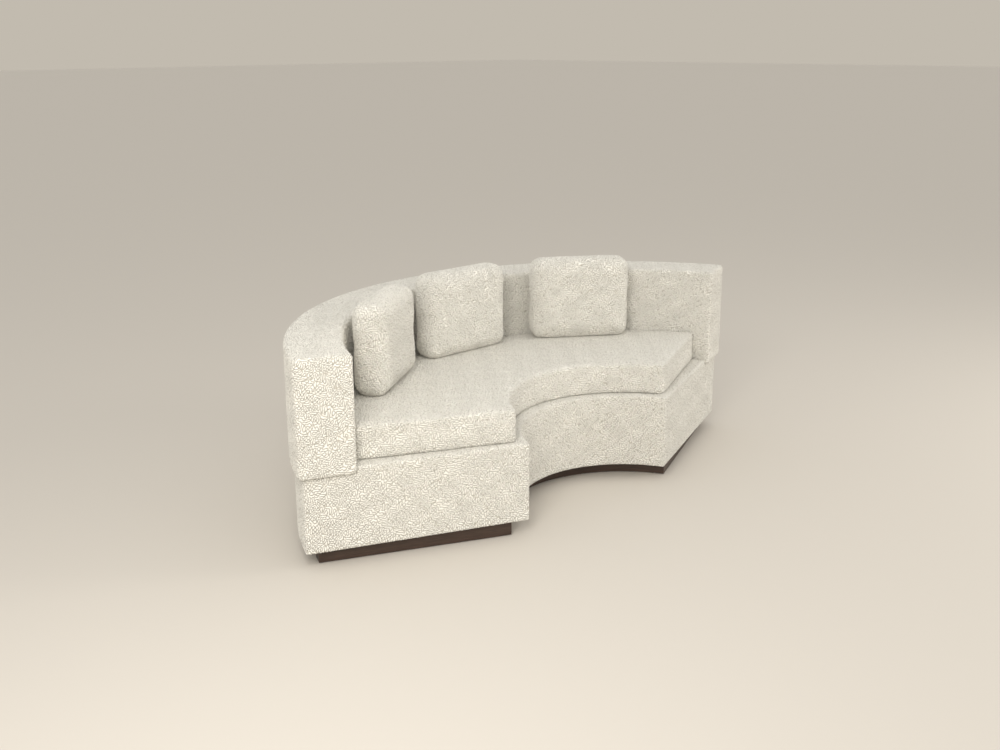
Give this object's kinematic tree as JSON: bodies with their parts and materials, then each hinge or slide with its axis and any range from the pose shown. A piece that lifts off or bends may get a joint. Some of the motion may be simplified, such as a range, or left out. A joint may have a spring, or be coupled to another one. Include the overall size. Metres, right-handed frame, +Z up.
{
  "type": "curved sofa",
  "caption": "Curved sofa: upholstered arc base on a recessed dark plinth, wrapped backrest, a curved seat cushion and loose back cushions that lift off.",
  "frame": {"origin": "on the floor, under the centre of the sofa's bounding box", "axes": "+X along the sofa's width to its right end, seen from the back; +Y to the convex back; +Z up; the concave front faces -Y"},
  "size_m": [2.0938, 0.9848, 0.747],
  "materials": {
    "boucle": "looped cream boucle, matt",
    "plinth_wood": "dark brown stain, satin lacquer",
    "frame_ply": "birch plywood, sanded, unfinished",
    "bent_ply": "bending plywood, unfinished",
    "foam": "open-cell polyurethane foam, cut",
    "cushion_inner": "down-proof cotton inner, filled with fibre",
    "webbing": "elastic upholstery webbing",
    "felt": "needled felt",
    "deck_cloth": "plain woven cotton",
    "dust_cloth": "spun-bonded black cloth",
    "zip_tape": "woven polyester zip tape with nylon coil",
    "zip_slider": "nickel-plated zip slider",
    "zinc_steel": "zinc-plated steel"
  },
  "bodies": {
    "sofa_frame": {"floor_pads": "felt", "plinth_front_board": "plinth_wood", "plinth_rear_board": "plinth_wood", "plinth_left_board": "plinth_wood", "plinth_right_board": "plinth_wood", "plinth_cross_rails": "plinth_wood", "plinth_corner_blocks": "plinth_wood", "plinth_screws": "zinc_steel", "base_floor_panel": "frame_ply", "base_front_rail": "frame_ply", "base_deck_rail": "frame_ply", "base_rear_rail": "frame_ply", "base_ribs": "frame_ply", "base_left_end_panel": "frame_ply", "base_right_end_panel": "frame_ply", "base_front_skin": "bent_ply", "base_rear_skin": "bent_ply", "base_front_foam": "foam", "base_rear_foam": "foam", "base_left_foam": "foam", "base_right_foam": "foam", "base_cover": "boucle", "dust_cloth": "dust_cloth", "deck_webbing_radial": "webbing", "deck_webbing_cross": "webbing", "deck_pad": "felt", "deck_cloth": "deck_cloth", "back_bottom_rail": "frame_ply", "back_top_rail": "frame_ply", "back_uprights": "frame_ply", "back_inner_skin": "bent_ply", "back_outer_skin": "bent_ply", "back_bolts": "zinc_steel", "back_tee_nuts": "zinc_steel", "back_top_foam": "foam", "back_inner_foam": "foam", "back_outer_foam": "foam", "back_left_foam": "foam", "back_right_foam": "foam", "back_cover": "boucle"},
    "seat_cushion": {"seat_cushion_core": "foam", "seat_cushion_cover": "boucle", "seat_cushion_zip": "zip_tape"},
    "seat_zip_slider": {"seat_cushion_zip_slider": "zip_slider"},
    "back_cushion_left": {"back_cushion_left_inner": "cushion_inner", "back_cushion_left_cover": "boucle", "back_cushion_left_zip": "zip_tape"},
    "left_zip_slider": {"back_cushion_left_zip_slider": "zip_slider"},
    "back_cushion_middle": {"back_cushion_middle_inner": "cushion_inner", "back_cushion_middle_cover": "boucle", "back_cushion_middle_zip": "zip_tape"},
    "middle_zip_slider": {"back_cushion_middle_zip_slider": "zip_slider"},
    "back_cushion_right": {"back_cushion_right_inner": "cushion_inner", "back_cushion_right_cover": "boucle", "back_cushion_right_zip": "zip_tape"},
    "right_zip_slider": {"back_cushion_right_zip_slider": "zip_slider"}
  },
  "joints": [
    {"name": "seat_cushion_lift", "type": "slide", "parent": "sofa_frame", "child": "seat_cushion", "axis": [0, 0, 1], "range_m": [0, 0.42]},
    {"name": "seat_zip", "type": "hinge", "parent": "seat_cushion", "child": "seat_zip_slider", "pos_m": [0, -0.64245, 0.373], "axis": [0, 0, -1], "range_deg": [0, 78]},
    {"name": "back_cushion_left_lift", "type": "slide", "parent": "seat_cushion", "child": "back_cushion_left", "axis": [0, 0, 1], "range_m": [0, 0.34]},
    {"name": "left_zip", "type": "slide", "parent": "back_cushion_left", "child": "left_zip_slider", "axis": [-0.8261, -0.5635, 0], "range_m": [0, 0.258]},
    {"name": "back_cushion_middle_lift", "type": "slide", "parent": "seat_cushion", "child": "back_cushion_middle", "axis": [0, 0, 1], "range_m": [0, 0.34]},
    {"name": "middle_zip", "type": "slide", "parent": "back_cushion_middle", "child": "middle_zip_slider", "axis": [-1, 0, 0], "range_m": [0, 0.258]},
    {"name": "back_cushion_right_lift", "type": "slide", "parent": "seat_cushion", "child": "back_cushion_right", "axis": [0, 0, 1], "range_m": [0, 0.34]},
    {"name": "right_zip", "type": "slide", "parent": "back_cushion_right", "child": "right_zip_slider", "axis": [-0.8211, 0.5707, 0], "range_m": [0, 0.258]}
  ]
}
